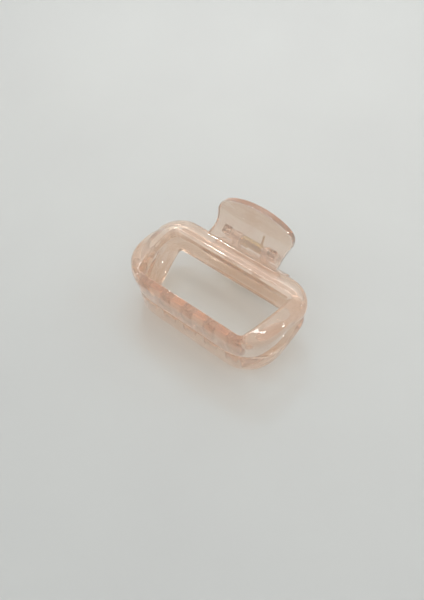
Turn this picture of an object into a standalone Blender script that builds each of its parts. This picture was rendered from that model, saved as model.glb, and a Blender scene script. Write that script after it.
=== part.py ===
"""Claw clip: two moulded jaws on one hinge pin, held shut by a torsion spring.

Clip frame (millimetres while modelling): x runs along the hinge pin, s is the
distance in front of the pin towards the teeth, n is the height above the plane
where the closed jaws meet.  The lower jaw is the mirror image of the upper one
in that plane, apart from its teeth and its hinge lugs, which sit between those
of the upper jaw.  The clip lies on its lower jaw and on the tip of its lower
handle, so the whole clip frame is turned by REST_TILT about the pin's direction.
"""
import math

import bmesh
import bpy
from mathutils import Matrix, Vector

MM = 0.001

# --- frame of a jaw ---------------------------------------------------------
WINDOW_BACK = 16.7          # s of the window's edge on the hinge side
WINDOW_DEPTH = 30.6         # window, hinge side to teeth side
WINDOW_HALF_BACK = 32.4     # half the window's length at the hinge bar
WINDOW_HALF_FRONT = 26.8    # half the window's length at the teeth bar
WINDOW_RADIUS = 2.6         # window corners
STRUT_BOW = 1.3             # how far the end struts bulge outwards
STRUT_WIDTH = 8.0
HINGE_BAR_WIDTH = 8.2
FRONT_WALL = 3.6            # window edge to the outside of the teeth bar
BACK_CORNER_RADIUS = 12.0
FRONT_CORNER_RADIUS = 16.0
BAR_THICKNESS = 5.0
CROWN_BACK = 8.6            # n of the window's edge at the hinge bar
CROWN_FRONT = 16.2          # n of the window's edge at the teeth bar
CROWN_ARCH = 1.2            # extra height of the struts halfway
INNER_BULGE = 1.5           # how far the window wall swells inwards
SEAM_GAP = 0.35             # half the gap between the closed jaws

# --- teeth ------------------------------------------------------------------
TOOTH_PITCH = 11.6
UPPER_TEETH = 5
LOWER_TEETH = 4
TOOTH_WIDTH = 5.0
TOOTH_REACH = 6.5           # how far a tooth passes the plane where the jaws meet
TOOTH_ROOT_HEIGHT = 11.5    # n where a tooth leaves the wall
TOOTH_CLEARANCE = 0.6       # tooth to the other jaw's wall

# --- handle -----------------------------------------------------------------
HANDLE_NECK_HALF = 19.3
HANDLE_WAIST_HALF = 18.2
HANDLE_TOP_HALF = 24.4
HANDLE_THICKNESS = 3.4
HANDLE_TIP_BACK = 2.6       # how far the tip lies behind the pin
HANDLE_TIP_HEIGHT = 22.8    # n of the tip
HANDLE_BEND_BACK = 0.8      # how far behind the pin the handle turns up
HANDLE_TOP_ROUND = 5.2      # how far the arched tip falls away towards its corners
HANDLE_CORNER_ROUND = 2.6   # what the corners themselves lose on top of that

# --- hinge and spring -------------------------------------------------------
PIN_RADIUS = 1.0
PIN_CLEARANCE = 0.3         # pin to bore, also coil ends to lugs
BARREL_RADIUS = 3.0
LUG_WIDTH = 3.8
LUG_GAP = 0.35              # side gap between neighbouring lugs
SPRING_LENGTH = 11.6        # coil, end to end
WIRE_RADIUS = 0.5
COIL_RADIUS = 2.1           # to the middle of the wire
COIL_TURNS = 8
LEG_LENGTH = 9.5
LEG_GAP = 0.35              # leg to the handle it pushes

# --- how the clip lies ------------------------------------------------------
REST_FACET = 1.9            # width of the flat that the clip lies on

TEETH_BAR = WINDOW_BACK + WINDOW_DEPTH
REST_TILT = math.atan((HANDLE_TIP_HEIGHT - CROWN_FRONT) / (TEETH_BAR + HANDLE_TIP_BACK))
TEETH_OUTER = TEETH_BAR + FRONT_WALL
HINGE_BAR_BACK = WINDOW_BACK - HINGE_BAR_WIDTH
BAR_BULGE_INNER = TEETH_BAR - INNER_BULGE
LUG_TOP_EMBED = 1.2         # how far a lug runs up into the handle
LUG_EDGE_STEP = 0.05        # the barrel stands this much inside the neck's sides

PEACH = (0.86, 0.60, 0.48, 1.0)
GOLD = (0.83, 0.62, 0.25, 1.0)
STEEL = (0.62, 0.62, 0.60, 1.0)


def clear_scene():
    for obj in list(bpy.data.objects):
        bpy.data.objects.remove(obj, do_unlink=True)


def make_material(name, colour, roughness, metallic):
    material = bpy.data.materials.new(name)
    material.use_nodes = True
    shader = material.node_tree.nodes["Principled BSDF"]
    shader.inputs["Base Color"].default_value = colour
    shader.inputs["Roughness"].default_value = roughness
    shader.inputs["Metallic"].default_value = metallic
    return material


def to_metres(x, s, n):
    """A point of the clip frame as a Blender vector."""
    return Vector((x * MM, -s * MM, n * MM))


def smooth_step(value):
    value = min(max(value, 0.0), 1.0)
    return value * value * (3.0 - 2.0 * value)


def mix(a, b, share):
    return a + (b - a) * share


# --- outlines of the frame, seen from above ---------------------------------
SIDE_STEPS = 9
CORNER_STEPS = 7


def rounded_trapezoid(half_back, half_front, s_back, s_front, radius_back, radius_front):
    """Outline points (x, s, outward x, outward s), counted from the back bar's left end.

    Every call gives the same number of points, so two outlines can be joined
    point by point: corner arcs have CORNER_STEPS steps, sides SIDE_STEPS.
    """
    corners = [
        (half_back, s_back, radius_back),
        (half_front, s_front, radius_front),
        (-half_front, s_front, radius_front),
        (-half_back, s_back, radius_back),
    ]
    arcs = []
    for index, (x, s, radius) in enumerate(corners):
        before = Vector(corners[index - 1][:2]) - Vector((x, s))
        after = Vector(corners[(index + 1) % 4][:2]) - Vector((x, s))
        before.normalize()
        after.normalize()
        half_angle = before.angle(after) / 2.0
        reach = radius / math.tan(half_angle)
        start = Vector((x, s)) + before * reach
        centre_way = (before + after).normalized()
        centre = Vector((x, s)) + centre_way * (radius / math.sin(half_angle))
        turn = math.pi - 2.0 * half_angle
        spoke = start - centre
        arc = []
        for step in range(CORNER_STEPS + 1):
            angle = turn * step / CORNER_STEPS
            turned = Matrix.Rotation(angle, 2) @ spoke
            arc.append((centre + turned, turned.normalized()))
        arcs.append(arc)
    points = []
    for index, arc in enumerate(arcs):
        points.extend(arc)
        following = arcs[(index + 1) % 4][0]
        for step in range(1, SIDE_STEPS):
            share = step / SIDE_STEPS
            place = arc[-1][0].lerp(following[0], share)
            points.append((place, arc[-1][1].lerp(following[1], share).normalized()))
    return points


def bowed(point, s_back, s_front, half_back, half_front):
    """Move a point of an outline outwards by the bow of the end struts."""
    share = (point.y - s_back) / (s_front - s_back)
    half = mix(half_back, half_front, share)
    bow = STRUT_BOW * 4.0 * share * (1.0 - share)
    return Vector((point.x * (1.0 + bow / half), point.y))


def window_outline():
    s_front = TEETH_BAR
    points = rounded_trapezoid(
        WINDOW_HALF_BACK, WINDOW_HALF_FRONT, WINDOW_BACK, s_front, WINDOW_RADIUS, WINDOW_RADIUS
    )
    sizes = (WINDOW_BACK, s_front, WINDOW_HALF_BACK, WINDOW_HALF_FRONT)
    return [(bowed(place, *sizes), outward) for place, outward in points]


def outer_outline():
    half_back = WINDOW_HALF_BACK + STRUT_WIDTH
    half_front = WINDOW_HALF_FRONT + STRUT_WIDTH
    points = rounded_trapezoid(
        half_back, half_front, HINGE_BAR_BACK, TEETH_OUTER, BACK_CORNER_RADIUS, FRONT_CORNER_RADIUS
    )
    sizes = (HINGE_BAR_BACK, TEETH_OUTER, half_back, half_front)
    return [(bowed(place, *sizes), outward) for place, outward in points]


def crown(s):
    """Height of the window's edge above the plane where the jaws meet."""
    share = (s - WINDOW_BACK) / WINDOW_DEPTH
    return mix(CROWN_BACK, CROWN_FRONT, share) + CROWN_ARCH * 4.0 * share * (1.0 - share)


WALL_FROM = 0.22            # how far the outline has turned forward where the wall begins
WALL_SPAN = 0.76            # further turning until the wall stands at full height
GUSSET_LENGTH = 18.0        # the struts deepen over this length before the teeth bar
GUSSET_SHARE = 0.30
SIDE_DROOP = 2.6            # how far the outer edge drops below the window's edge: struts,
BACK_DROOP = 1.4            # hinge bar
FRONT_DROOP = 2.0           # and teeth bar
SHOULDER_DROP = 1.1         # fall of the top face from the facet to the outer edge


def bar_section(edge, window_way, rim, outward):
    """The bar's cross-section between a window point and its partner on the outer outline.

    It is a plump strip on the hinge bar and the struts, and stands up as the
    tooth wall at the front, where the two jaws nearly touch.
    """
    across = rim - edge
    width = across.length
    way = across.normalized()
    top = crown(edge.y)
    turned = smooth_step((outward.y - WALL_FROM) / WALL_SPAN)
    lead = smooth_step((edge.y - TEETH_BAR + GUSSET_LENGTH) / GUSSET_LENGTH)
    front = mix(turned, 1.0, GUSSET_SHARE * lead)
    back = max(0.0, -outward.y)
    side = 1.0 - max(front, back)
    droop = SIDE_DROOP * side + BACK_DROOP * back + FRONT_DROOP * front
    bottom = mix(top - BAR_THICKNESS, SEAM_GAP, front)
    rim_bottom = mix(bottom - 0.55 * droop, SEAM_GAP, front)
    facet = min(REST_FACET, 0.55 * width)
    facet_drop = facet * math.tan(REST_TILT) * mix(1.0, way.y, front)
    rim_middle = mix(top - 1.1 * droop - 0.8, 0.55 * top, front)
    shoulder = SHOULDER_DROP + 0.4 * droop
    profile = [
        (0.9, bottom),
        (-0.75 * INNER_BULGE, bottom + 0.5),
        (-INNER_BULGE, mix(bottom, top, 0.5)),
        (-0.66 * INNER_BULGE, mix(bottom, top, 0.86)),
        (0.0, top),
        (facet, top - facet_drop),
        (mix(facet, width, 0.55), top - facet_drop - 0.35 * shoulder),
        (mix(facet, width, 0.90), top - facet_drop - shoulder),
        (width + 0.35 * front, mix(rim_middle, top - 3.4, front)),
        (width + 0.45 * front, rim_middle - 0.6),
        (width - 0.45 + 0.35 * front, rim_bottom + 0.7),
        (width - 1.5 + 0.3 * front, rim_bottom),
        (0.5 * width, mix(bottom - 0.1 * droop, SEAM_GAP, front)),
    ]
    inner_points = 4
    section = []
    for index, (out, height) in enumerate(profile):
        direction = window_way if index < inner_points else way
        section.append((edge + direction * out, height))
    return section


def frame_mesh(mesh):
    """The jaw's closed frame: cross-sections joined around the window."""
    rings = []
    for (edge, window_way), (rim, outward) in zip(window_outline(), outer_outline()):
        section = bar_section(edge, window_way, rim, outward)
        rings.append([mesh.verts.new((place.x, place.y, height)) for place, height in section])
    for index, ring in enumerate(rings):
        following = rings[(index + 1) % len(rings)]
        for k in range(len(ring)):
            m = (k + 1) % len(ring)
            mesh.faces.new((ring[k], ring[m], following[m], following[k]))


# --- handle ------------------------------------------------------------------
HANDLE_ROWS = 10
HANDLE_COLUMNS = 16
HANDLE_START = (HINGE_BAR_BACK + 3.6, CROWN_BACK - 1.0)
HANDLE_BEND = (-HANDLE_BEND_BACK, CROWN_BACK - 0.8)
HANDLE_EDGE = 0.35          # rounding of the handle's edges


def handle_face(share):
    """Outer face of the handle in the middle: place and outward direction in (s, n)."""
    start = Vector(HANDLE_START)
    bend = Vector(HANDLE_BEND)
    tip = Vector((-HANDLE_TIP_BACK, HANDLE_TIP_HEIGHT))
    first = start.lerp(bend, share)
    second = bend.lerp(tip, share)
    along = (second - first).normalized()
    return first.lerp(second, share), Vector((along.y, -along.x))


def handle_half_width(share):
    turn = 0.35
    if share < turn:
        flare = (1.0 - share / turn) ** 2
        return mix(HANDLE_WAIST_HALF, HANDLE_NECK_HALF, flare)
    flare = ((share - turn) / (1.0 - turn)) ** 1.7
    return mix(HANDLE_WAIST_HALF, HANDLE_TOP_HALF, flare)


def handle_reach(across):
    """Share of the handle's length that is left at this place across, so its tip is arched."""
    run = (Vector(HANDLE_START) - Vector((-HANDLE_TIP_BACK, HANDLE_TIP_HEIGHT))).length
    lost = HANDLE_TOP_ROUND * across ** 2 + HANDLE_CORNER_ROUND * across ** 14
    return 1.0 - lost / run


def handle_mesh(mesh):
    """A curved plate: an outer and an inner skin, joined by a softly rounded edge."""
    def point(across, share, depth, shrink):
        reach = handle_reach(across)
        length = share * reach - shrink * share ** 8 / 28.0
        place, outward = handle_face(length)
        x = across * (handle_half_width(length) - shrink * abs(across) ** 8)
        spot = place - outward * depth
        return mesh.verts.new((x, spot.x, spot.y))

    layers = [
        (0.0, HANDLE_EDGE),
        (HANDLE_EDGE, 0.0),
        (HANDLE_THICKNESS - HANDLE_EDGE, 0.0),
        (HANDLE_THICKNESS, HANDLE_EDGE),
    ]
    grids = []
    for depth, shrink in layers:
        rows = []
        for row in range(HANDLE_ROWS + 1):
            share = row / HANDLE_ROWS
            cells = []
            for column in range(HANDLE_COLUMNS + 1):
                across = math.sin(math.pi * (column / HANDLE_COLUMNS - 0.5))
                cells.append(point(across, share, depth, shrink))
            rows.append(cells)
        grids.append(rows)
    for grid in (grids[0], grids[-1]):
        for row in range(HANDLE_ROWS):
            for column in range(HANDLE_COLUMNS):
                mesh.faces.new((
                    grid[row][column],
                    grid[row][column + 1],
                    grid[row + 1][column + 1],
                    grid[row + 1][column],
                ))
    borders = [border_of(grid) for grid in grids]
    for upper, lower in zip(borders, borders[1:]):
        for index in range(len(upper)):
            following = (index + 1) % len(upper)
            mesh.faces.new((upper[index], upper[following], lower[following], lower[index]))
    keep = set(borders[0]) | set(borders[1]) | set(borders[2]) | set(borders[3])
    inside = [
        vert
        for grid in grids[1:3]
        for row in grid
        for vert in row
        if vert not in keep
    ]
    for vert in inside:
        mesh.verts.remove(vert)


def border_of(grid):
    """The outer loop of a grid of vertices."""
    loop = list(grid[0])
    loop += [row[-1] for row in grid[1:]]
    loop += list(reversed(grid[-1][:-1]))
    loop += [row[0] for row in reversed(grid[1:-1])]
    return loop


# --- teeth, lugs and bores ---------------------------------------------------
def tooth_places(count):
    return [TOOTH_PITCH * (index - (count - 1) / 2.0) for index in range(count)]


def tooth_mesh(mesh, x):
    """One tooth: a claw curving in from the wall, narrower towards its tip.

    Each row is (inner s, inner n, outer s, outer n); the rows run from the root
    on the wall's inside to the tip beyond the plane where the jaws meet.
    """
    wall = BAR_BULGE_INNER
    face = wall - TOOTH_CLEARANCE
    tip = -TOOTH_REACH
    root = TOOTH_ROOT_HEIGHT
    rows = [
        (wall - 0.2, root - 0.9, wall + 0.8, root),
        (wall - 1.3, 0.62 * root, wall + 0.9, 0.60 * root),
        (wall - 2.4, 0.26 * root, wall + 0.9, 0.24 * root),
        (face - 2.6, 0.6, face, 1.2),
        (face - 2.5, 0.35 * tip, face - 0.1, 0.35 * tip),
        (face - 2.0, 0.72 * tip, face - 0.3, 0.75 * tip),
        (face - 1.4, 0.96 * tip, face - 0.6, tip),
    ]
    rings = []
    for inner_s, inner_n, outer_s, outer_n in rows:
        share = smooth_step((outer_n - tip) / (root - tip))
        half = TOOTH_WIDTH * mix(0.32, 0.56, share)
        rings.append([
            mesh.verts.new((x - half, inner_s, inner_n)),
            mesh.verts.new((x + half, inner_s, inner_n)),
            mesh.verts.new((x + half, outer_s, outer_n)),
            mesh.verts.new((x - half, outer_s, outer_n)),
        ])
    mesh.faces.new(rings[0])
    mesh.faces.new(rings[-1])
    for ring, following in zip(rings, rings[1:]):
        for index in range(4):
            beside = (index + 1) % 4
            mesh.faces.new((ring[index], ring[beside], following[beside], following[index]))


def lug_spans(outermost):
    """Start and end along the pin of one jaw's two lugs; both jaws share the pin's length."""
    inner = SPRING_LENGTH / 2.0 + LUG_GAP
    if outermost:
        inner += LUG_WIDTH + LUG_GAP
    return [(-inner - LUG_WIDTH, -inner), (inner, inner + LUG_WIDTH)]


def lug_neck_mesh(mesh, start, end):
    """The neck of a lug: a tapered prism from the barrel up into the handle."""
    front, _ = handle_face(0.30)
    back, _ = handle_face(0.50)
    sink = HANDLE_THICKNESS * 0.5
    outline = [
        (front.x, front.y - sink),
        (back.x, back.y - sink - LUG_TOP_EMBED),
        (-0.96 * BARREL_RADIUS, 0.0),
        (0.96 * BARREL_RADIUS, 0.0),
    ]
    sides = [[mesh.verts.new((x, s, n)) for s, n in outline] for x in (start, end)]
    for loop in sides:
        mesh.faces.new(loop)
    for index in range(len(outline)):
        following = (index + 1) % len(outline)
        mesh.faces.new((sides[0][index], sides[0][following], sides[1][following], sides[1][index]))


def rod_mesh(mesh, radius, start, end, steps=24):
    """A round rod along the pin's line."""
    rings = []
    for x in (start, end):
        ring = []
        for step in range(steps):
            angle = 2.0 * math.pi * step / steps
            ring.append(mesh.verts.new((x, radius * math.cos(angle), radius * math.sin(angle))))
        rings.append(ring)
        mesh.faces.new(ring)
    for index in range(steps):
        following = (index + 1) % steps
        mesh.faces.new((rings[0][index], rings[0][following], rings[1][following], rings[1][index]))


# --- making objects ----------------------------------------------------------
def make_object(name, build, flip=False):
    """Run a mesh recipe written in the clip frame; flip mirrors it to the lower side."""
    bm = bmesh.new()
    build(bm)
    side = -1.0 if flip else 1.0
    for vert in bm.verts:
        vert.co = to_metres(vert.co.x, vert.co.y, side * vert.co.z)
    bmesh.ops.triangulate(bm, faces=bm.faces, ngon_method="EAR_CLIP")
    bmesh.ops.recalc_face_normals(bm, faces=bm.faces)
    data = bpy.data.meshes.new(name)
    bm.to_mesh(data)
    bm.free()
    obj = bpy.data.objects.new(name, data)
    bpy.context.scene.collection.objects.link(obj)
    return obj


def combine(base, tool, operation):
    """Join the tool to the base, or cut it out, and keep only the base."""
    modifier = base.modifiers.new(operation.lower(), "BOOLEAN")
    modifier.operation = operation
    modifier.solver = "EXACT"
    modifier.object = tool
    bpy.context.view_layer.update()
    depsgraph = bpy.context.evaluated_depsgraph_get()
    data = bpy.data.meshes.new_from_object(base.evaluated_get(depsgraph))
    base.modifiers.clear()
    base.data = data
    bpy.data.objects.remove(tool, do_unlink=True)


def finish(obj, material, root):
    obj.data.name = obj.name
    obj.data.materials.clear()
    obj.data.materials.append(material)
    if obj.type == "MESH":
        obj.data.shade_smooth()
        obj.data.set_sharp_from_angle(angle=math.radians(40.0))
    obj.parent = root


def make_jaw(name, teeth, outermost_lugs, flip):
    jaw = make_object(name, frame_mesh, flip)
    combine(jaw, make_object("handle", handle_mesh, flip), "UNION")
    for start, end in lug_spans(outermost_lugs):
        neck = make_object("neck", lambda mesh: lug_neck_mesh(mesh, start, end), flip)
        combine(jaw, neck, "UNION")
        inset = LUG_EDGE_STEP
        barrel = make_object(
            "barrel", lambda mesh: rod_mesh(mesh, BARREL_RADIUS, start + inset, end - inset), flip
        )
        combine(jaw, barrel, "UNION")
    for x in tooth_places(teeth):
        tooth = make_object("tooth", lambda mesh: tooth_mesh(mesh, x), flip)
        combine(jaw, tooth, "UNION")
    reach = 2.0 * (SPRING_LENGTH + 2.0 * LUG_WIDTH)
    bore = make_object(
        "bore", lambda mesh: rod_mesh(mesh, PIN_RADIUS + PIN_CLEARANCE, -reach, reach), flip
    )
    combine(jaw, bore, "DIFFERENCE")
    return jaw


def make_pin():
    end = lug_spans(True)[1][1]
    return make_object("hinge_pin", lambda mesh: rod_mesh(mesh, PIN_RADIUS, -end, end))


LEG_FIRST_ANGLE = math.radians(95.0)
LEG_LAST_ANGLE = math.radians(175.0)
LEG_ANGLE_STEP = math.radians(0.5)
FACE_SAMPLES = 60


def leg_angle():
    """Direction of a spring leg, as an angle up from the teeth side.

    The leg leaves the coil at a tangent; it is turned back until its end lies
    one LEG_GAP from the inner face of the handle that it pushes.
    """
    wanted = WIRE_RADIUS + LEG_GAP
    angle = LEG_FIRST_ANGLE
    while angle < LEG_LAST_ANGLE and not clears_handle(leg_end(angle), wanted):
        angle += LEG_ANGLE_STEP
    return angle


def handle_inner(share):
    place, outward = handle_face(share)
    return place - outward * HANDLE_THICKNESS


def clears_handle(point, wanted):
    """Whether a point under the handle is at least this far from its inner face."""
    shares = [step / FACE_SAMPLES for step in range(FACE_SAMPLES + 1)]
    nearest = min(shares, key=lambda share: (handle_inner(share) - point).length)
    away = point - handle_inner(nearest)
    _, outward = handle_face(nearest)
    return away.dot(outward) < 0.0 and away.length >= wanted


def leg_end(angle):
    start = angle - math.pi / 2.0
    tangent = Vector((math.cos(angle), math.sin(angle)))
    return Vector((math.cos(start), math.sin(start))) * COIL_RADIUS + tangent * LEG_LENGTH


def spring_path():
    """Wire centre line: lower leg, coil, upper leg."""
    angle = leg_angle()
    first = -(angle - math.pi / 2.0)
    last = angle - math.pi / 2.0 + 2.0 * math.pi * COIL_TURNS
    half = SPRING_LENGTH / 2.0 - WIRE_RADIUS
    steps = int(12 * (last - first) / (2.0 * math.pi))
    end = leg_end(angle)
    points = [to_metres(-half, end.x, -end.y)]
    for step in range(steps + 1):
        share = step / steps
        turn = mix(first, last, share)
        place = (COIL_RADIUS * math.cos(turn), COIL_RADIUS * math.sin(turn))
        points.append(to_metres(mix(-half, half, share), *place))
    points.append(to_metres(half, end.x, end.y))
    return points


def make_spring():
    curve = bpy.data.curves.new("torsion_spring", "CURVE")
    curve.dimensions = "3D"
    curve.bevel_depth = WIRE_RADIUS * MM
    curve.bevel_resolution = 1
    curve.use_fill_caps = True
    points = spring_path()
    spline = curve.splines.new("POLY")
    spline.points.add(len(points) - 1)
    for slot, place in zip(spline.points, points):
        slot.co = (*place, 1.0)
    obj = bpy.data.objects.new("torsion_spring", curve)
    bpy.context.scene.collection.objects.link(obj)
    return obj


def lay_down(root, pieces):
    """Turn the clip onto its lower jaw and put the middle of its footprint at the origin."""
    root.rotation_euler = (REST_TILT, 0.0, 0.0)
    turn = Matrix.Rotation(REST_TILT, 3, "X")
    corners = [turn @ vert.co for piece in pieces if piece.type == "MESH" for vert in piece.data.vertices]
    low = min(corner.z for corner in corners)
    near = min(corner.y for corner in corners)
    far = max(corner.y for corner in corners)
    root.location = (0.0, -(near + far) / 2.0, -low)


def build():
    clear_scene()
    plastic = make_material("moulded_plastic", PEACH, 0.12, 0.0)
    brass = make_material("spring_wire", GOLD, 0.28, 1.0)
    steel = make_material("pin_steel", STEEL, 0.3, 1.0)
    root = bpy.data.objects.new("clip_frame", None)
    bpy.context.scene.collection.objects.link(root)
    upper = make_jaw("upper_jaw", UPPER_TEETH, True, False)
    lower = make_jaw("lower_jaw", LOWER_TEETH, False, True)
    pin = make_pin()
    spring = make_spring()
    for piece, material in ((upper, plastic), (lower, plastic), (pin, steel), (spring, brass)):
        finish(piece, material, root)
    lay_down(root, (upper, lower, pin))


build()
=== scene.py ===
# %% [markdown]
# # A claw clip in tinted jelly plastic
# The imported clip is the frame: it fixes where every piece is and how it moves.
# This lesson puts a finely moulded skin on each jaw, a wound wire spring and a
# turned pin in place of the plain solids, and then lights them like a small product
# on a sheet of pale paper.

# %% Load the frame
import math
import random

import bmesh
import bpy
import numpy as np
from mathutils import Matrix, Vector


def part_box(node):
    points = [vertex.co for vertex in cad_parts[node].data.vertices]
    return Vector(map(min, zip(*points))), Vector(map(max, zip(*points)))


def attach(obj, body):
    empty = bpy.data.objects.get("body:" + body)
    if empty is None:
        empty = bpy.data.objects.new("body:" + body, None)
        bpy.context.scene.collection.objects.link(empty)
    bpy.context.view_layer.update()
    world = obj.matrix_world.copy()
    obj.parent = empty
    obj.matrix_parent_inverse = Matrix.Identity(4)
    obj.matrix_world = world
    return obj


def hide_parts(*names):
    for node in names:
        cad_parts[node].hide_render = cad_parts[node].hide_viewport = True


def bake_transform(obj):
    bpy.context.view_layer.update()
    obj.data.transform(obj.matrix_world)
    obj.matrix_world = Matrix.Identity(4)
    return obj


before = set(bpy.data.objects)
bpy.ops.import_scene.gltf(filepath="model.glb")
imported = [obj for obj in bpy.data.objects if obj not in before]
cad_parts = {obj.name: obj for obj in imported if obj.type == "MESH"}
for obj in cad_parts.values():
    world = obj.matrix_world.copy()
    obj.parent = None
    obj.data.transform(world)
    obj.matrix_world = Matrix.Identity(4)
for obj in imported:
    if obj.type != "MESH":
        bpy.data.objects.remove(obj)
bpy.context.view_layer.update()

# %% [markdown]
# ## Sizes
# Both jaws are one casting shape, mirrored.  Its sizes are kept in millimetres in the
# clip's own directions: x along the pin, s from the pin towards the teeth, n up from
# the plane where the closed jaws meet.  One matrix then lays the clip down on its
# lower jaw and the tip of its lower handle, which is how it rests on a table.

# %% Sizes of the moulding
MM = 0.001
WINDOW_BACK = 16.7
WINDOW_DEPTH = 30.6
WINDOW_HALF_BACK = 32.4
WINDOW_HALF_FRONT = 26.8
WINDOW_RADIUS = 2.6
STRUT_BOW = 1.3
STRUT_WIDTH = 8.0
HINGE_BAR_WIDTH = 8.2
FRONT_WALL = 3.6
BACK_CORNER_RADIUS = 12.0
FRONT_CORNER_RADIUS = 16.0
BAR_THICKNESS = 5.0
CROWN_BACK = 8.6
CROWN_FRONT = 16.2
CROWN_ARCH = 1.2
INNER_BULGE = 1.5
SEAM_GAP = 0.35
REST_FACET = 1.9
TOOTH_PITCH = 11.6
TOOTH_WIDTH = 5.0
TOOTH_REACH = 6.5
TOOTH_ROOT_HEIGHT = 11.5
TOOTH_CLEARANCE = 0.6
HANDLE_NECK_HALF = 19.3
HANDLE_WAIST_HALF = 18.2
HANDLE_TOP_HALF = 24.4
HANDLE_THICKNESS = 3.4
HANDLE_TIP_BACK = 2.6
HANDLE_TIP_HEIGHT = 22.8
HANDLE_BEND_BACK = 0.8
HANDLE_TOP_ROUND = 5.2
HANDLE_CORNER_ROUND = 2.6
HANDLE_EDGE = 0.35
PIN_RADIUS = 1.0
PIN_CLEARANCE = 0.3
BARREL_RADIUS = 3.0
LUG_WIDTH = 3.8
LUG_GAP = 0.35
SPRING_LENGTH = 11.6
WIRE_RADIUS = 0.5
COIL_RADIUS = 2.1
COIL_TURNS = 8
LEG_LENGTH = 9.5
LEG_GAP = 0.35

TEETH_BAR = WINDOW_BACK + WINDOW_DEPTH
TEETH_OUTER = TEETH_BAR + FRONT_WALL
HINGE_BAR_BACK = WINDOW_BACK - HINGE_BAR_WIDTH
REST_TILT = math.atan((HANDLE_TIP_HEIGHT - CROWN_FRONT) / (TEETH_BAR + HANDLE_TIP_BACK))
pin_low, pin_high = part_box("hinge_pin")
PIN_PLACE = (Vector(pin_low) + Vector(pin_high)) / 2.0
LAY_DOWN = Matrix.Translation(PIN_PLACE) @ Matrix.Rotation(REST_TILT, 4, "X")
print("pin at", [round(1000 * v, 2) for v in PIN_PLACE], "tilt", round(math.degrees(REST_TILT), 2))


def to_metres(x, s, n):
    """A point of the clip's own directions as a Blender vector."""
    return Vector((x * MM, -s * MM, n * MM))


def smooth_step(value):
    value = min(max(value, 0.0), 1.0)
    return value * value * (3.0 - 2.0 * value)


def mix(a, b, share):
    return a + (b - a) * share


# %% [markdown]
# ## The frame of a jaw
# The real jaw is one shot of plastic: a plump bar runs round an open window and
# stands up as a wall at the teeth.  A good way to model such a ring is to draw its
# cross-section and carry it round the window, and to let it change shape on the way.
# The section is a closed smooth curve through a few points, so the bar has the
# soft shoulders that a polished mould leaves, with one tighter edge at the window.

# %% Outlines of the window and of the outside
SIDE_STEPS = 26
CORNER_STEPS = 14


def rounded_trapezoid(half_back, half_front, s_back, s_front, radius_back, radius_front):
    """Outline points (place, outward way), counted from the back bar's left end."""
    corners = [
        (half_back, s_back, radius_back),
        (half_front, s_front, radius_front),
        (-half_front, s_front, radius_front),
        (-half_back, s_back, radius_back),
    ]
    arcs = []
    for index, (x, s, radius) in enumerate(corners):
        before = (Vector(corners[index - 1][:2]) - Vector((x, s))).normalized()
        after = (Vector(corners[(index + 1) % 4][:2]) - Vector((x, s))).normalized()
        half_angle = before.angle(after) / 2.0
        start = Vector((x, s)) + before * (radius / math.tan(half_angle))
        centre = Vector((x, s)) + (before + after).normalized() * (radius / math.sin(half_angle))
        turn = math.pi - 2.0 * half_angle
        arc = []
        for step in range(CORNER_STEPS + 1):
            turned = Matrix.Rotation(turn * step / CORNER_STEPS, 2) @ (start - centre)
            arc.append((centre + turned, turned.normalized()))
        arcs.append(arc)
    points = []
    for index, arc in enumerate(arcs):
        points.extend(arc)
        following = arcs[(index + 1) % 4][0]
        for step in range(1, SIDE_STEPS):
            share = step / SIDE_STEPS
            way = arc[-1][1].lerp(following[1], share).normalized()
            points.append((arc[-1][0].lerp(following[0], share), way))
    return points


def bowed_outline(half_back, half_front, s_back, s_front, radius_back, radius_front):
    """The trapezoid with its end struts bulging outwards a little."""
    sizes = (half_back, half_front, s_back, s_front, radius_back, radius_front)
    points = []
    for place, way in rounded_trapezoid(*sizes):
        share = (place.y - s_back) / (s_front - s_back)
        bow = STRUT_BOW * 4.0 * share * (1.0 - share)
        half = mix(half_back, half_front, share)
        points.append((Vector((place.x * (1.0 + bow / half), place.y)), way))
    return points


window = bowed_outline(
    WINDOW_HALF_BACK, WINDOW_HALF_FRONT, WINDOW_BACK, TEETH_BAR, WINDOW_RADIUS, WINDOW_RADIUS
)
outside = bowed_outline(
    WINDOW_HALF_BACK + STRUT_WIDTH, WINDOW_HALF_FRONT + STRUT_WIDTH,
    HINGE_BAR_BACK, TEETH_OUTER, BACK_CORNER_RADIUS, FRONT_CORNER_RADIUS,
)
print("sections round the window:", len(window))

# %% The bar's cross-section
SECTION_STEPS = 4
FRONT_FROM = 0.22
FRONT_SPAN = 0.76
GUSSET_LENGTH = 18.0
GUSSET_SHARE = 0.30


def crown(s):
    """Height of the window's edge above the plane where the jaws meet."""
    share = (s - WINDOW_BACK) / WINDOW_DEPTH
    return mix(CROWN_BACK, CROWN_FRONT, share) + CROWN_ARCH * 4.0 * share * (1.0 - share)


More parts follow.
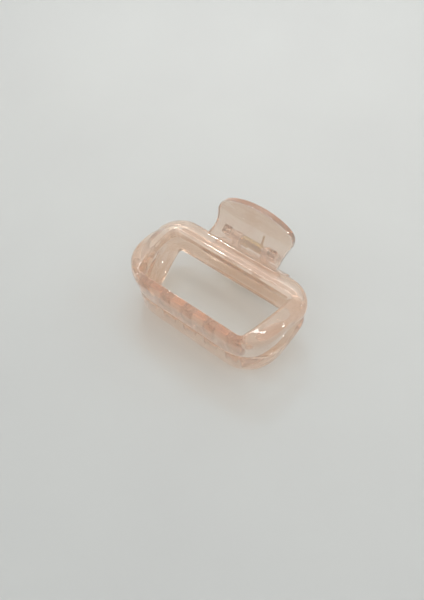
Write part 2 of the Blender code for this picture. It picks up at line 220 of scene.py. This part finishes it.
def bar_section(edge, window_way, rim, outward):
    """Control points (place, n) of the section between a window point and the outside."""
    way = (rim - edge).normalized()
    width = (rim - edge).length
    top = crown(edge.y)
    turned = smooth_step((outward.y - FRONT_FROM) / FRONT_SPAN)
    lead = smooth_step((edge.y - TEETH_BAR + GUSSET_LENGTH) / GUSSET_LENGTH)
    front = mix(turned, 1.0, GUSSET_SHARE * lead)
    back = max(0.0, -outward.y)
    side = 1.0 - max(front, back)
    droop = 2.6 * side + 1.4 * back + 2.0 * front
    bottom = mix(top - BAR_THICKNESS, SEAM_GAP, front)
    rim_bottom = mix(bottom - 0.55 * droop, SEAM_GAP, front)
    facet = min(REST_FACET, 0.55 * width)
    facet_drop = facet * math.tan(REST_TILT) * mix(1.0, way.y, front)
    rim_middle = mix(top - 1.1 * droop - 0.8, 0.55 * top, front)
    shoulder = 1.1 + 0.4 * droop
    profile = [
        (0.9, bottom),
        (-0.75 * INNER_BULGE, bottom + 0.5),
        (-INNER_BULGE, mix(bottom, top, 0.5)),
        (-0.60 * INNER_BULGE, mix(bottom, top, 0.82)),
        (-0.20, top - 0.45),
        (-0.04, top - 0.08),
        (0.14, top),
        (facet, top - facet_drop),
        (mix(facet, width, 0.55), top - facet_drop - 0.35 * shoulder),
        (mix(facet, width, 0.90), top - facet_drop - shoulder),
        (width + 0.35 * front, mix(rim_middle, top - 3.4, front)),
        (width + 0.45 * front, rim_middle - 0.6),
        (width - 0.45 + 0.35 * front, rim_bottom + 0.7),
        (width - 0.75 + 0.35 * front, rim_bottom + 0.12),
        (width - 1.5 + 0.3 * front, rim_bottom),
        (0.5 * width, mix(bottom - 0.1 * droop, SEAM_GAP, front)),
    ]
    inner_points = 6
    section = []
    for index, (out, height) in enumerate(profile):
        spot = edge + (window_way if index < inner_points else way) * out
        section.append(Vector((spot.x, spot.y, height)))
    return section


def smooth_loop(points, steps):
    """A closed Catmull-Rom curve through the points, centripetal so that it can't loop."""
    count = len(points)
    made = []
    for index in range(count):
        p0, p1, p2, p3 = (points[(index + k) % count] for k in (-1, 0, 1, 2))
        d1, d2, d3 = (max((b - a).length, 1e-4) ** 0.5 for a, b in ((p0, p1), (p1, p2), (p2, p3)))
        m1 = (p1 - p0) / d1 - (p2 - p0) / (d1 + d2) + (p2 - p1) / d2
        m2 = (p2 - p1) / d2 - (p3 - p1) / (d2 + d3) + (p3 - p2) / d3
        for step in range(steps):
            t = step / steps
            h1 = 2 * t ** 3 - 3 * t ** 2 + 1
            h2 = t ** 3 - 2 * t ** 2 + t
            h3 = -2 * t ** 3 + 3 * t ** 2
            h4 = t ** 3 - t ** 2
            made.append(h1 * p1 + h2 * d2 * m1 + h3 * p2 + h4 * d2 * m2)
    return made


def join_rings(mesh, rings, closed):
    """Faces between neighbouring rings of vertices, and round the whole set if closed."""
    last = len(rings) if closed else len(rings) - 1
    for index in range(last):
        ring, following = rings[index], rings[(index + 1) % len(rings)]
        for k in range(len(ring)):
            m = (k + 1) % len(ring)
            mesh.faces.new((ring[k], ring[m], following[m], following[k]))


def frame_recipe(mesh):
    rings = []
    for (edge, window_way), (rim, outward) in zip(window, outside):
        curve = smooth_loop(bar_section(edge, window_way, rim, outward), SECTION_STEPS)
        rings.append([mesh.verts.new(place) for place in curve])
    join_rings(mesh, rings, closed=True)


print("points in one section:", SECTION_STEPS * len(bar_section(*window[0], *outside[0])))

# %% [markdown]
# ## The handle
# Thumb and finger press on two curved plates that rise from the hinge bars.  Each is a
# thin shell, waisted at the neck, wider and arched at its end.  Two skins and a rounded
# edge between them give the flat end face with its soft corners.

# %% Handle plate
HANDLE_START = (HINGE_BAR_BACK + 3.6, CROWN_BACK - 1.0)
HANDLE_BEND = (-HANDLE_BEND_BACK, CROWN_BACK - 0.8)
HANDLE_ROWS = 36
HANDLE_COLUMNS = 56
EDGE_STEPS = 4
WAIST_AT = 0.35


def handle_face(share):
    """Outer face of the handle along its middle: place and outward way in (s, n)."""
    start, bend = Vector(HANDLE_START), Vector(HANDLE_BEND)
    tip = Vector((-HANDLE_TIP_BACK, HANDLE_TIP_HEIGHT))
    first, second = start.lerp(bend, share), bend.lerp(tip, share)
    along = (second - first).normalized()
    return first.lerp(second, share), Vector((along.y, -along.x))


def handle_half_width(share):
    if share < WAIST_AT:
        return mix(HANDLE_WAIST_HALF, HANDLE_NECK_HALF, (1.0 - share / WAIST_AT) ** 2)
    flare = ((share - WAIST_AT) / (1.0 - WAIST_AT)) ** 1.7
    return mix(HANDLE_WAIST_HALF, HANDLE_TOP_HALF, flare)


HANDLE_RUN = (Vector(HANDLE_START) - Vector((-HANDLE_TIP_BACK, HANDLE_TIP_HEIGHT))).length


def handle_point(across, share, depth, shrink):
    """A point of the plate: across -1 to 1, along 0 to 1, depth below the outer face."""
    lost = HANDLE_TOP_ROUND * across ** 2 + HANDLE_CORNER_ROUND * across ** 14
    reach = 1.0 - lost / HANDLE_RUN
    length = share * reach - shrink * share ** 8 / 28.0
    place, outward = handle_face(length)
    x = across * (handle_half_width(length) - shrink * abs(across) ** 8)
    spot = place - outward * depth
    return Vector((x, spot.x, spot.y))


def handle_recipe(mesh):
    layers = []
    for step in range(EDGE_STEPS + 1):
        angle = 0.5 * math.pi * step / EDGE_STEPS
        depth, shrink = HANDLE_EDGE * (1 - math.cos(angle)), HANDLE_EDGE * (1 - math.sin(angle))
        layers.append((depth, shrink))
    layers += [(HANDLE_THICKNESS - depth, shrink) for depth, shrink in reversed(layers)]
    places = []
    for row in range(HANDLE_ROWS + 1):
        for column in range(HANDLE_COLUMNS + 1):
            across = math.sin(math.pi * (column / HANDLE_COLUMNS - 0.5))
            places.append((across, row / HANDLE_ROWS, row, column))
    wide = HANDLE_COLUMNS + 1
    loop = list(range(wide))
    loop += [row * wide + wide - 1 for row in range(1, HANDLE_ROWS + 1)]
    loop += [HANDLE_ROWS * wide + column for column in range(wide - 2, -1, -1)]
    loop += [row * wide for row in range(HANDLE_ROWS - 1, 0, -1)]
    skins, rims = [], []
    for index, (depth, shrink) in enumerate(layers):
        if index in (0, len(layers) - 1):
            grid = [mesh.verts.new(handle_point(a, b, depth, shrink)) for a, b, _, _ in places]
            skins.append(grid)
            rims.append([grid[k] for k in loop])
        else:
            rims.append([mesh.verts.new(handle_point(*places[k][:2], depth, shrink)) for k in loop])
    for grid in skins:
        for row in range(HANDLE_ROWS):
            for column in range(HANDLE_COLUMNS):
                k = row * wide + column
                mesh.faces.new((grid[k], grid[k + 1], grid[k + wide + 1], grid[k + wide]))
    join_rings(mesh, rims, closed=False)


# %% [markdown]
# ## Lugs and teeth
# Two lugs under each handle carry the pin, and a row of claws curves in from the wall
# to hold the hair.  Each is a closed form that sinks into the jaw, ready to be fused.

# %% Lugs
def lug_spans(outermost):
    """Start and end along the pin of one jaw's two lugs."""
    inner = SPRING_LENGTH / 2.0 + LUG_GAP
    if outermost:
        inner += LUG_WIDTH + LUG_GAP
    return [(-inner - LUG_WIDTH, -inner), (inner, inner + LUG_WIDTH)]


def lug_recipe(mesh, start, end):
    """The side outline of a lug, barrel and neck in one, drawn out along the pin."""
    front, back = handle_face(0.30)[0], handle_face(0.50)[0]
    sink = HANDLE_THICKNESS * 0.5
    outline = []
    for step in range(33):
        angle = math.pi * (1.0 + step / 32.0)
        outline.append((BARREL_RADIUS * math.cos(angle), BARREL_RADIUS * math.sin(angle)))
    outline.append((front.x, front.y - sink))
    outline.append((back.x, back.y - sink - 1.2))
    sides = [[mesh.verts.new((x, s, n)) for s, n in outline] for x in (start, end)]
    for loop in sides:
        mesh.faces.new(loop)
    join_rings(mesh, sides, closed=False)


def rod_recipe(mesh, profile, steps=64):
    """A round rod along the pin's line from (x, radius) stations, with flat ends."""
    rings = []
    for x, radius in profile:
        spokes = [2.0 * math.pi * step / steps for step in range(steps)]
        rings.append([
            mesh.verts.new((x, radius * math.cos(a), radius * math.sin(a))) for a in spokes
        ])
    join_rings(mesh, rings, closed=False)
    mesh.faces.new(rings[0])
    mesh.faces.new(rings[-1])


# %% Teeth
def tooth_recipe(mesh, x):
    """A claw: rounded oblong sections from its root on the wall to its blunt tip."""
    wall = TEETH_BAR - INNER_BULGE
    face = wall - TOOTH_CLEARANCE
    tip, root = -TOOTH_REACH, TOOTH_ROOT_HEIGHT
    rows = [
        (wall - 0.2, root - 0.9, wall + 0.8, root),
        (wall - 1.3, 0.62 * root, wall + 0.9, 0.60 * root),
        (wall - 2.4, 0.26 * root, wall + 0.9, 0.24 * root),
        (face - 2.6, 0.6, face, 1.2),
        (face - 2.5, 0.35 * tip, face - 0.1, 0.35 * tip),
        (face - 2.0, 0.72 * tip, face - 0.3, 0.75 * tip),
        (face - 1.4, 0.96 * tip, face - 0.6, tip),
    ]
    rings = []
    for inner_s, inner_n, outer_s, outer_n in rows:
        half = TOOTH_WIDTH * mix(0.32, 0.56, smooth_step((outer_n - tip) / (root - tip)))
        ring = []
        for step in range(20):
            angle = 2.0 * math.pi * step / 20
            way = (math.cos(angle), math.sin(angle))
            across, deep = (math.copysign(abs(v) ** 0.55, v) for v in way)
            share = 0.5 + 0.5 * deep
            place = (x + half * across, mix(inner_s, outer_s, share), mix(inner_n, outer_n, share))
            ring.append(mesh.verts.new(place))
        rings.append(ring)
    join_rings(mesh, rings, closed=False)
    mesh.faces.new(rings[0])
    mesh.faces.new(rings[-1])


# %% [markdown]
# ## Fusing the moulding
# A mould has no sharp inside corners: where a lug meets the handle there is a small
# fillet, and that is what makes injection-moulded plastic look like one piece.  The
# overlapping forms are therefore remeshed together on a fine grid and relaxed a few
# times, which melts them into one skin with small fillets.  The bore for the pin is cut
# afterwards, so that it stays crisp and round.

# %% Make one jaw
VOXEL = 0.3 * MM
RELAX_TIMES = 4
BORE_REACH = 20.0
# Where the skin turns sharply outwards the plastic gets a painted highlight: a pale cream line along the
# crease and rim.
HIGHLIGHT_MARK = "painted_edge_highlight"
EDGE_FROM = 0.05
EDGE_TO = 0.13


def make_piece(name, recipes, flip=False):
    """Run recipes written in the clip's own directions into one object, laid down."""
    bm = bmesh.new()
    for recipe in recipes:
        recipe(bm)
    side = -1.0 if flip else 1.0
    for vert in bm.verts:
        vert.co = LAY_DOWN @ to_metres(vert.co.x, vert.co.y, side * vert.co.z)
    bmesh.ops.recalc_face_normals(bm, faces=bm.faces)
    data = bpy.data.meshes.new(name)
    bm.to_mesh(data)
    bm.free()
    obj = bpy.data.objects.new(name, data)
    bpy.context.scene.collection.objects.link(obj)
    return obj


def bake_modifiers(obj):
    """Write what the modifiers make into the object's own mesh."""
    bpy.context.view_layer.update()
    depsgraph = bpy.context.evaluated_depsgraph_get()
    data = bpy.data.meshes.new_from_object(obj.evaluated_get(depsgraph))
    obj.modifiers.clear()
    obj.data = data
    obj.data.name = obj.name


# This mark sets where the plastic paints its pale highlight lines.
def mark_highlight_edges(obj):
    """Note how sharply the skin turns outwards at each point, from 0 flat to 1 an edge."""
    data = obj.data
    count = len(data.vertices)
    places, normals = np.empty(3 * count), np.empty(3 * count)
    data.vertices.foreach_get("co", places)
    data.vertex_normals.foreach_get("vector", normals)
    places, normals = places.reshape(-1, 3), normals.reshape(-1, 3)
    pairs = np.empty(2 * len(data.edges), dtype=np.int64)
    data.edges.foreach_get("vertices", pairs)
    pairs = pairs.reshape(-1, 2)
    near = np.maximum(np.bincount(pairs.ravel(), minlength=count), 1)

    def neighbour_mean(values):
        total = np.bincount(pairs[:, 0], values[pairs[:, 1]], count)
        return (total + np.bincount(pairs[:, 1], values[pairs[:, 0]], count)) / near

    middle = np.stack([neighbour_mean(places[:, axis]) for axis in range(3)], axis=1)
    turn = np.einsum("ij,ij->i", places - middle, normals) / VOXEL
    for _ in range(2):
        turn = 0.5 * turn + 0.5 * neighbour_mean(turn)
    mark = np.clip((turn - EDGE_FROM) / (EDGE_TO - EDGE_FROM), 0.0, 1.0)
    layer = data.attributes.new(HIGHLIGHT_MARK, "FLOAT", "POINT")
    layer.data.foreach_set("value", mark.astype(np.float32))
    print("marked as edge:", round(100.0 * float((mark > 0.5).mean()), 1), "% of the skin")


def make_jaw(name, teeth, outermost_lugs, flip):
    recipes = [frame_recipe, handle_recipe]
    for start, end in lug_spans(outermost_lugs):
        recipes.append(lambda mesh, a=start, b=end: lug_recipe(mesh, a, b))
    for index in range(teeth):
        x = TOOTH_PITCH * (index - (teeth - 1) / 2.0)
        recipes.append(lambda mesh, x=x: tooth_recipe(mesh, x))
    jaw = make_piece(name, recipes, flip)
    remesh = jaw.modifiers.new("fuse", "REMESH")
    remesh.mode = "VOXEL"
    remesh.voxel_size = VOXEL * 1.0
    relax = jaw.modifiers.new("relax", "SMOOTH")
    relax.factor = 0.5
    relax.iterations = RELAX_TIMES
    bake_modifiers(jaw)
    mark_highlight_edges(jaw)
    radius = PIN_RADIUS + PIN_CLEARANCE
    bore = make_piece("bore", [
        lambda mesh: rod_recipe(mesh, [(-BORE_REACH, radius), (BORE_REACH, radius)])
    ])
    cut = jaw.modifiers.new("cut", "BOOLEAN")
    cut.operation = "DIFFERENCE"
    cut.solver = "MANIFOLD"
    cut.object = bore
    bake_modifiers(jaw)
    bpy.data.objects.remove(bore, do_unlink=True)
    jaw.data.shade_smooth()
    jaw.data.set_sharp_from_angle(angle=math.radians(42.0))
    print(name, "faces:", len(jaw.data.polygons))
    return jaw


upper_jaw = make_jaw("upper_jaw_moulding", 5, True, False)
lower_jaw = make_jaw("lower_jaw_moulding", 4, False, True)

# %% [markdown]
# ## The spring and the pin
# The spring is round wire wound close on a mandrel, with a straight leg at each end that
# pushes a handle.  A curve with a round bevel draws it, and the leg leaves the coil at a
# tangent.  The pin is a cut length of drawn rod with its ends chamfered and domed.

# %% Wind the spring
TURN_STEPS = 28


def handle_inner(share):
    place, outward = handle_face(share)
    return place - outward * HANDLE_THICKNESS, outward


def leg_end(angle):
    start = angle - math.pi / 2.0
    tangent = Vector((math.cos(angle), math.sin(angle)))
    return Vector((math.cos(start), math.sin(start))) * COIL_RADIUS + tangent * LEG_LENGTH


def leg_angle():
    """Turn the leg towards the handle until its end is one LEG_GAP from the plate."""
    angle = math.radians(95.0)
    chosen = angle
    while angle < math.radians(175.0):
        end = leg_end(angle)
        faces = [handle_inner(step / 60.0) for step in range(61)]
        nearest, outward = min(faces, key=lambda face: (face[0] - end).length)
        if (end - nearest).dot(outward) < 0.0 and (end - nearest).length >= WIRE_RADIUS + LEG_GAP:
            chosen = angle
            break
        angle += math.radians(0.5)
    return chosen


def make_spring():
    angle = leg_angle()
    first = math.pi / 2.0 - angle
    last = angle - math.pi / 2.0 + 2.0 * math.pi * COIL_TURNS
    half = SPRING_LENGTH / 2.0 - WIRE_RADIUS
    steps = int(TURN_STEPS * (last - first) / (2.0 * math.pi))
    end = leg_end(angle)
    path = [(-half, end.x, -end.y)]
    for step in range(steps + 1):
        turn = mix(first, last, step / steps)
        place = (COIL_RADIUS * math.cos(turn), COIL_RADIUS * math.sin(turn))
        path.append((mix(-half, half, step / steps), *place))
    path.append((half, end.x, end.y))
    curve = bpy.data.curves.new("spring_wire", "CURVE")
    curve.dimensions = "3D"
    curve.bevel_depth = WIRE_RADIUS * MM
    curve.bevel_resolution = 4
    curve.use_fill_caps = True
    spline = curve.splines.new("POLY")
    spline.points.add(len(path) - 1)
    for slot, place in zip(spline.points, path):
        slot.co = (*(LAY_DOWN @ to_metres(*place)), 1.0)
    drawn = bpy.data.objects.new("spring_wire", curve)
    bpy.context.scene.collection.objects.link(drawn)
    bpy.context.view_layer.update()
    depsgraph = bpy.context.evaluated_depsgraph_get()
    data = bpy.data.meshes.new_from_object(drawn.evaluated_get(depsgraph))
    bpy.data.objects.remove(drawn, do_unlink=True)
    spring = bpy.data.objects.new("wound_spring", data)
    bpy.context.scene.collection.objects.link(spring)
    data.shade_smooth()
    data.set_sharp_from_angle(angle=math.radians(50.0))
    print("leg leans", round(math.degrees(angle)), "degrees; faces:", len(data.polygons))
    return spring, half


spring, coil_half = make_spring()

# %% Turn the pin
pin_half = lug_spans(True)[1][1]
CHAMFER = 0.3
pin_profile = [
    (-pin_half, 0.45 * PIN_RADIUS),
    (-pin_half + 0.06, PIN_RADIUS - CHAMFER),
    (-pin_half + CHAMFER, PIN_RADIUS - 0.04),
    (-pin_half + 0.5, PIN_RADIUS),
]
pin_profile += [(-x, radius) for x, radius in reversed(pin_profile)]
pin = make_piece("drawn_pin", [lambda mesh: rod_recipe(mesh, pin_profile)])
pin.data.shade_smooth()
pin.data.set_sharp_from_angle(angle=math.radians(35.0))
print("pin length, mm:", round(2 * pin_half, 2))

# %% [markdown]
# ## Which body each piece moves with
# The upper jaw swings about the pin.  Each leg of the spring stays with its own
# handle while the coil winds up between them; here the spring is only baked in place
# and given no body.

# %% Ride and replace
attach(upper_jaw, "upper")
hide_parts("upper_jaw")
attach(lower_jaw, "lower")
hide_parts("lower_jaw")
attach(pin, "lower")
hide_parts("hinge_pin")
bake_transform(spring)
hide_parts("torsion_spring")

# %% [markdown]
# ## Colours and nodes
# Colours are written as the sRGB hex values a paint chart would give, and one function
# turns them to the linear values that a renderer mixes.  Another adds a node.

# %% Helpers for materials
def hex_colour(code):
    """Linear red, green, blue and 1 from an sRGB hex colour such as #D6C5B6."""
    values = [int(code[k:k + 2], 16) / 255.0 for k in (1, 3, 5)]
    linear = [v / 12.92 if v <= 0.04045 else ((v + 0.055) / 1.055) ** 2.4 for v in values]
    return (*linear, 1.0)


def new_material(name):
    material = bpy.data.materials.new(name)
    material.use_nodes = True
    tree = material.node_tree
    return material, tree, tree.nodes["Principled BSDF"], tree.nodes["Material Output"]


def add(tree, kind, settings=None, links=None):
    """Add a node; settings are its properties or sockets, links feed its sockets."""
    node = tree.nodes.new(kind)
    for key, value in (settings or {}).items():
        if isinstance(key, str) and hasattr(node, key):
            setattr(node, key, value)
        else:
            node.inputs[key].default_value = value
    for key, source in (links or {}).items():
        tree.links.new(source, node.inputs[key])
    return node


# %% [markdown]
# ## Jelly plastic
# The jaws are transparent styrenic or polycarbonate resin with a little peach dye and a
# polished mould face.  Thin walls look almost colourless and thick or edge-on ones turn
# orange, because the dye takes blue and green from light by the millimetre.  That
# is what Volume Absorption does, so the depth of colour comes from the shape
# itself.  Polished plastic of this kind has an IOR of 1.49 to 1.58.  Lamps must reach
# the table through the plastic, so rays towards lamps meet a tinted clear shader.

# %% Jelly plastic
FLOW_MARK_MM = 9.0
RIPPLE_MM = 2.4
PEACH_DYE_PER_M = 44.0


def make_jelly_plastic():
    material, tree, shader, output = new_material("moulded_peach_jelly_resin")
    place = add(tree, "ShaderNodeTexCoord").outputs["Object"]
    flow = add(
        tree, "ShaderNodeTexNoise",
        {"Scale": 1000.0 / FLOW_MARK_MM, "Detail": 3.0, "Roughness": 0.5, "Distortion": 0.6},
        {"Vector": place},
    )
    tint = add(tree, "ShaderNodeValToRGB", links={"Fac": flow.outputs["Fac"]})
    tint.color_ramp.elements[0].position = 0.3
    tint.color_ramp.elements[0].color = hex_colour("#F0DFD2")
    tint.color_ramp.elements[1].position = 0.7
    tint.color_ramp.elements[1].color = hex_colour("#F8EDE4")
    shader.inputs["IOR"].default_value = 1.5
    shader.inputs["Coat Weight"].default_value = 1.0
    shader.inputs["Coat IOR"].default_value = 1.6
    shader.inputs["Coat Roughness"].default_value = 0.02
    haze = add(
        tree, "ShaderNodeMapRange",
        {"From Min": 0.3, "From Max": 0.7, "To Min": 0.03, "To Max": 0.09},
        {"Value": flow.outputs["Fac"]},
    )
    ripple = add(
        tree, "ShaderNodeTexNoise",
        {"Scale": 1000.0 / RIPPLE_MM, "Detail": 1.0, "Roughness": 0.4},
        {"Vector": place},
    )
    bump = add(
        tree, "ShaderNodeBump",
        {"Strength": 0.06, "Distance": 0.00012},
        {"Height": ripple.outputs["Fac"]},
    )
    # Painted highlight: on the marked edges the colour turns pale cream and less light passes through,
    # which paints thin bright lines along the crease and rim.
    edge = add(tree, "ShaderNodeAttribute", {"attribute_name": HIGHLIGHT_MARK}).outputs["Fac"]
    pale = add(
        tree, "ShaderNodeMix", {"data_type": "RGBA", 7: hex_colour("#FFF6EC")},
        {0: edge, 6: tint.outputs["Color"]},
    )
    clearness = add(
        tree, "ShaderNodeMapRange", {"To Min": 0.82, "To Max": 0.35}, {"Value": edge}
    )
    tree.links.new(clearness.outputs["Result"], shader.inputs["Transmission Weight"])
    tree.links.new(pale.outputs[2], shader.inputs["Base Color"])
    tree.links.new(haze.outputs["Result"], shader.inputs["Roughness"])
    tree.links.new(bump.outputs["Normal"], shader.inputs["Normal"])
    path = add(tree, "ShaderNodeLightPath")
    through = add(
        tree, "ShaderNodeMath", {"operation": "MAXIMUM"},
        {0: path.outputs["Is Shadow Ray"], 1: path.outputs["Is Diffuse Ray"]},
    )
    clear = add(tree, "ShaderNodeBsdfTransparent", {"Color": hex_colour("#F3F1EE")})
    blend = add(
        tree, "ShaderNodeMixShader",
        links={0: through.outputs[0], 1: shader.outputs[0], 2: clear.outputs[0]},
    )
    tree.links.new(blend.outputs[0], output.inputs["Surface"])
    dye = add(
        tree, "ShaderNodeVolumeAbsorption",
        {"Color": (0.97, 0.54, 0.18, 1.0), "Density": PEACH_DYE_PER_M},
    )
    tree.links.new(dye.outputs["Volume"], output.inputs["Volume"])
    return material


jelly = make_jelly_plastic()

# %% [markdown]
# ## Spring wire and pin steel
# The spring is steel wire with a thin yellow brass plating; drawing the wire leaves
# fine lines along it and the plating varies a little in tone.  The pin is bare
# drawn rod.  Metals keep the default IOR: their colour is their reflection.

# %% Metals
def make_metal(name, dark, bright, grain_mm, rough_from, rough_to):
    material, tree, shader, _ = new_material(name)
    place = add(tree, "ShaderNodeTexCoord").outputs["Object"]
    stretch = add(
        tree, "ShaderNodeMapping", {"Scale": (0.15, 1.0, 1.0)}, {"Vector": place}
    )
    grain = add(
        tree, "ShaderNodeTexNoise",
        {"Scale": 1000.0 / grain_mm, "Detail": 4.0, "Roughness": 0.6},
        {"Vector": stretch.outputs["Vector"]},
    )
    tone = add(tree, "ShaderNodeValToRGB", links={"Fac": grain.outputs["Fac"]})
    tone.color_ramp.elements[0].position = 0.35
    tone.color_ramp.elements[0].color = hex_colour(dark)
    tone.color_ramp.elements[1].position = 0.65
    tone.color_ramp.elements[1].color = hex_colour(bright)
    rough = add(
        tree, "ShaderNodeMapRange", {"To Min": rough_from, "To Max": rough_to},
        {"Value": grain.outputs["Fac"]},
    )
    bump = add(
        tree, "ShaderNodeBump", {"Strength": 0.25, "Distance": 0.00004},
        {"Height": grain.outputs["Fac"]},
    )
    shader.inputs["Metallic"].default_value = 1.0
    tree.links.new(tone.outputs["Color"], shader.inputs["Base Color"])
    tree.links.new(rough.outputs["Result"], shader.inputs["Roughness"])
    tree.links.new(bump.outputs["Normal"], shader.inputs["Normal"])
    return material


brass_wire = make_metal("drawn_brass_plated_wire", "#D3BD85", "#EBDCAE", 0.5, 0.16, 0.34)
pin_steel = make_metal("drawn_pin_steel", "#A9A8A4", "#CFCECA", 0.4, 0.18, 0.4)
for piece, material in ((upper_jaw, jelly), (lower_jaw, jelly), (spring, brass_wire), (pin, pin_steel)):
    piece.data.materials.clear()
    piece.data.materials.append(material)
    print(piece.name, "->", material.name)
for node, material in (
    ("upper_jaw", jelly), ("lower_jaw", jelly), ("torsion_spring", brass_wire), ("hinge_pin", pin_steel),
):
    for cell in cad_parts[node].material_slots:
        cell.material = material

# %% [markdown]
# ## The sheet of paper
# A product table is often a sheet of paper that curves up behind the object, so that no
# edge shows.  Here a flat run turns up in one wide arc.

# %% Floor and backdrop
SWEEP_TURN = math.radians(35.97)
SWEEP_START = 0.16
SWEEP_RADIUS = 0.16
SWEEP_RISE = 2.5
SWEEP_HALF = 3.0
SWEEP_NEAR = 3.0


def make_sweep():
    profile = [(-SWEEP_NEAR, 0.0), (SWEEP_START, 0.0)]
    for step in range(1, 33):
        angle = 0.5 * math.pi * step / 32.0
        profile.append((
            SWEEP_START + SWEEP_RADIUS * math.sin(angle), SWEEP_RADIUS * (1.0 - math.cos(angle))
        ))
    profile.append((SWEEP_START + SWEEP_RADIUS, SWEEP_RISE))
    bm = bmesh.new()
    rows = [[bm.verts.new((x, y, z)) for x in (-SWEEP_HALF, SWEEP_HALF)] for y, z in profile]
    for row, following in zip(rows, rows[1:]):
        bm.faces.new((row[0], row[1], following[1], following[0]))
    data = bpy.data.meshes.new("paper_sweep")
    bm.to_mesh(data)
    bm.free()
    data.shade_smooth()
    sweep = bpy.data.objects.new("paper_sweep", data)
    sweep.rotation_euler = (0.0, 0.0, SWEEP_TURN)
    sweep.location = (0.0, 0.0, -0.00002)
    bpy.context.scene.collection.objects.link(sweep)
    return sweep


def make_paper():
    material, tree, shader, _ = new_material("matt_white_paper")
    place = add(tree, "ShaderNodeTexCoord").outputs["Object"]
    fibre = add(
        tree, "ShaderNodeTexNoise", {"Scale": 12.0, "Detail": 2.0}, {"Vector": place}
    )
    tone = add(tree, "ShaderNodeValToRGB", links={"Fac": fibre.outputs["Fac"]})
    tone.color_ramp.elements[0].color = hex_colour("#D2D2D1")
    tone.color_ramp.elements[1].color = hex_colour("#D9DAD8")
    tree.links.new(tone.outputs["Color"], shader.inputs["Base Color"])
    shader.inputs["Roughness"].default_value = 0.7
    shader.inputs["Specular IOR Level"].default_value = 0.2
    return material


sweep = make_sweep()
sweep.data.materials.append(make_paper())
print("paper from", -SWEEP_NEAR, "to", SWEEP_START + SWEEP_RADIUS, "m")

# %% [markdown]
# ## Light and camera
# Polished plastic shows its lamps as small bright marks, so two narrow lamps give the
# crisp lines along the edges, together with a pale highlight painted into the plastic's
# colour along its sharp edges, and one broad soft lamp overhead gives the even light and
# the soft shadow.  The camera looks down on the clip from its front right.

# %% Lamps
def add_lamp(name, place, target, size, power, colour):
    lamp = bpy.data.lights.new(name, "AREA")
    lamp.shape = "RECTANGLE"
    lamp.size, lamp.size_y = size
    lamp.energy = power
    lamp.color = hex_colour(colour)[:3]
    obj = bpy.data.objects.new(name, lamp)
    obj.location = place
    way = Vector(target) - Vector(place)
    obj.rotation_euler = way.to_track_quat("-Z", "Y").to_euler()
    bpy.context.scene.collection.objects.link(obj)
    return obj


add_lamp("broad_overhead", (-0.16, 0.42, 0.66), (0, 0.02, 0), (0.27, 0.27), 5.4, "#FFFFFF")
add_lamp("narrow_key", (-0.22, 0.18, 0.5), (0, 0, 0.01), (0.06, 0.02), 0.35, "#FFFAF2")
add_lamp("narrow_side", (0.35, 0.1, 0.3), (0, 0, 0.01), (0.03, 0.03), 0.15, "#FFFAF2")

add_lamp("small_left", (-0.34, -0.16, 0.42), (0, 0, 0.01), (0.03, 0.02), 0.16, "#FFFAF2")
add_lamp("small_back", (0.24, 0.34, 0.36), (0, 0, 0.01), (0.04, 0.015), 0.16, "#FFFAF2")
add_lamp("backdrop_wash", (-0.16, 0.22, 0.5), (-0.24, 0.5, 0.12), (0.3, 0.1), 0.6, "#FFFFFF")

world = bpy.data.worlds.new("pale_room")
world.use_nodes = True
bpy.context.scene.world = world
sky = world.node_tree.nodes["Background"]
sky.inputs["Color"].default_value = hex_colour("#F2F6F7")
sky.inputs["Strength"].default_value = 0.78

# %% Camera
camera_data = bpy.data.cameras.new("camera")
camera_data.lens = 27.0
camera_data.sensor_width = 36.0
camera_data.shift_x = -0.005
camera_data.clip_start = 0.01
camera_data.clip_end = 10.0
camera = bpy.data.objects.new("camera", camera_data)
CAMERA_PLACE = Vector((0.06907, -0.10287, 0.18259))
CAMERA_TARGET = Vector((0.00164, -0.00995, 0.015))
CAMERA_ROLL = math.radians(1.357)
forward = (CAMERA_TARGET - CAMERA_PLACE).normalized()
level = forward.cross(Vector((0, 0, 1))).normalized()
right = level * math.cos(CAMERA_ROLL) + level.cross(forward) * math.sin(CAMERA_ROLL)
rise = right.cross(forward)
turn = Matrix((right, rise, -forward)).transposed()
camera.matrix_world = Matrix.Translation(CAMERA_PLACE) @ turn.to_4x4()
bpy.context.scene.collection.objects.link(camera)
bpy.context.scene.camera = camera
bpy.context.scene.view_settings.view_transform = "Standard"
print("camera looks down", round(math.degrees(math.asin(-forward.z)), 1), "degrees")
